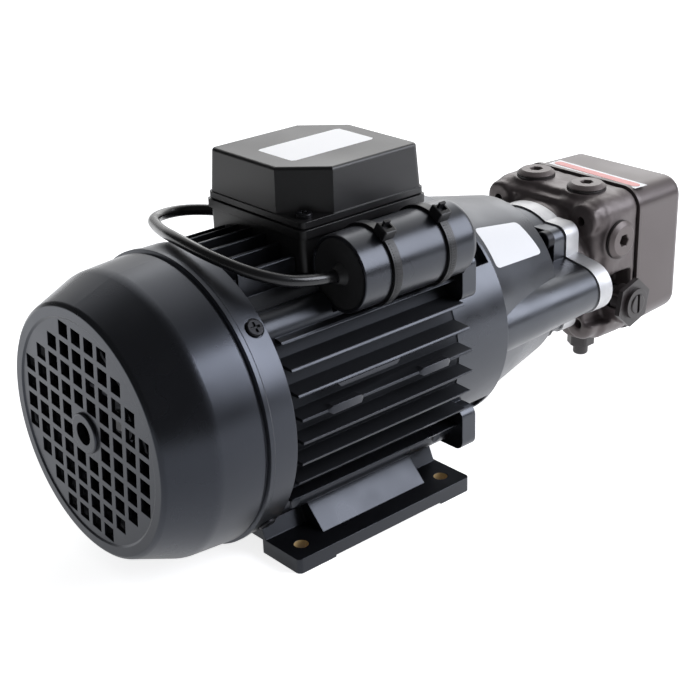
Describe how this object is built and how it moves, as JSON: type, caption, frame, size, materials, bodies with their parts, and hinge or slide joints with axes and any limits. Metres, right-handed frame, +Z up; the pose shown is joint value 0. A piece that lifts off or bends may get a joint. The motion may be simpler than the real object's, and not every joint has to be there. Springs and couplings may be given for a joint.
{
  "type": "oil burner pump",
  "caption": "Oil burner pump set: finned foot-mounted electric motor with terminal box and capacitor, coupled through a bell housing to a gear oil pump.",
  "frame": {"origin": "centre of the four foot holes, in the plane of the floor", "axes": "+X along the shaft from the fan cover to the pump, +Z up, -Y the side with the capacitor"},
  "size_m": [0.377, 0.1457, 0.172],
  "materials": {
    "black_casting": "die-cast aluminium under semi-gloss black paint",
    "fan_cover_black": "moulded black, soft gloss",
    "box_black": "moulded black, fine spark-eroded grain",
    "capacitor_black": "moulded black can, satin",
    "small_black": "moulded black, dull",
    "lead_black": "extruded sheath, slightly glossy",
    "seal_rubber": "moulded nitrile rubber",
    "black_screws": "black oxide",
    "plain_steel": "machined, oiled",
    "cage_brass": "pressed",
    "stack_steel": "stacked electrical sheet",
    "copper_winding": "enamelled wire under varnish",
    "bare_aluminium": "as cast, face machined",
    "spider_rubber": "moulded polyurethane",
    "terminal_plastic": "moulded",
    "pump_casting": "sand cast, dark brown-black paint",
    "pump_cover_paint": "deep drawn sheet, semi-gloss dark paint",
    "plug_steel": "phosphated",
    "washer_copper": "soft copper, tarnished",
    "strainer_steel": "woven wire on a ring"
  },
  "bodies": {
    "frame": {"motor_housing": "black_casting", "stator_core": "stack_steel", "stator_windings": "copper_winding", "bearing_outer_rings": "plain_steel", "fan_end_shield": "black_casting", "shield_screws": "black_screws", "fan_cover": "fan_cover_black", "fan_cover_screws": "black_screws", "box_base": "box_black", "box_gasket": "seal_rubber", "box_lid": "box_black", "lid_screws": "black_screws", "box_fixing_screws": "plain_steel", "terminal_block": "terminal_plastic", "terminal_studs": "cage_brass", "gland_body": "small_black", "gland_nut": "small_black", "lead_grommet": "lead_black", "capacitor_can": "capacitor_black", "capacitor_end": "small_black", "capacitor_lead": "lead_black", "cable_ties": "small_black", "bell_housing": "black_casting", "bell_screws": "black_screws", "adapter_plate": "bare_aluminium", "adapter_screws": "black_screws", "lobe_screw": "black_screws", "pump_flange_screws": "plain_steel", "pump_body": "pump_casting", "shaft_seal": "seal_rubber", "gear_housing": "plain_steel", "gear_end_plate": "plain_steel", "gear_screws": "plain_steel", "cover_gasket": "seal_rubber", "pump_cover": "pump_cover_paint", "cover_screws": "black_screws", "strainer": "strainer_steel", "port_plugs": "plug_steel", "plug_washers": "washer_copper", "outlet_fitting": "plug_steel", "regulator_nut": "plug_steel"},
    "rotor": {"rotor_core": "stack_steel", "rotor_end_rings": "bare_aluminium", "motor_shaft": "plain_steel", "shaft_key": "plain_steel", "bearing_inner_rings": "plain_steel", "bearing_ball_cages": "cage_brass", "cooling_fan": "small_black", "motor_coupling_hub": "bare_aluminium", "coupling_spider": "spider_rubber"},
    "pump_rotor": {"pump_shaft": "plain_steel", "pump_coupling_hub": "bare_aluminium", "hub_set_screw": "plain_steel", "gear_star": "plain_steel"},
    "gear_ring": {"gear_ring": "plain_steel"},
    "spring_carrier": {"spring_seat": "plain_steel", "regulator_spring": "plain_steel"},
    "regulator_screw": {"regulator_screw": "plug_steel"},
    "pressure_piston": {"pressure_piston": "plain_steel"}
  },
  "joints": [
    {"name": "motor_spin", "type": "hinge", "parent": "frame", "child": "rotor", "pos_m": [0, 0, 0.071], "axis": [1, 0, 0], "continuous": true},
    {"name": "pump_spin", "type": "hinge", "parent": "frame", "child": "pump_rotor", "pos_m": [0.18, 0, 0.071], "axis": [1, 0, 0], "continuous": true},
    {"name": "ring_spin", "type": "hinge", "parent": "frame", "child": "gear_ring", "pos_m": [0.2194, 0, 0.0696], "axis": [1, 0, 0], "continuous": true},
    {"name": "spring_feed", "type": "slide", "parent": "frame", "child": "spring_carrier", "axis": [0, 1, 0], "range_m": [-0.001, 0.002], "deforming": ["regulator_spring"]},
    {"name": "regulator_turn", "type": "hinge", "parent": "spring_carrier", "child": "regulator_screw", "pos_m": [0.2015, -0.05, 0.0527], "axis": [0, 1, 0], "range_deg": [-360, 720]},
    {"name": "piston_lift", "type": "slide", "parent": "frame", "child": "pressure_piston", "axis": [0, -1, 0], "range_m": [0, 0.0015], "stiffness_N_per_m": 3000, "springref_m": -0.001}
  ],
  "couplings": [
    {"joint": "pump_spin", "follows": "motor_spin", "ratio": 1},
    {"joint": "ring_spin", "follows": "motor_spin", "ratio": 0.85714},
    {"joint": "spring_feed", "follows": "regulator_turn", "m_per_rad": 0.000159}
  ]
}
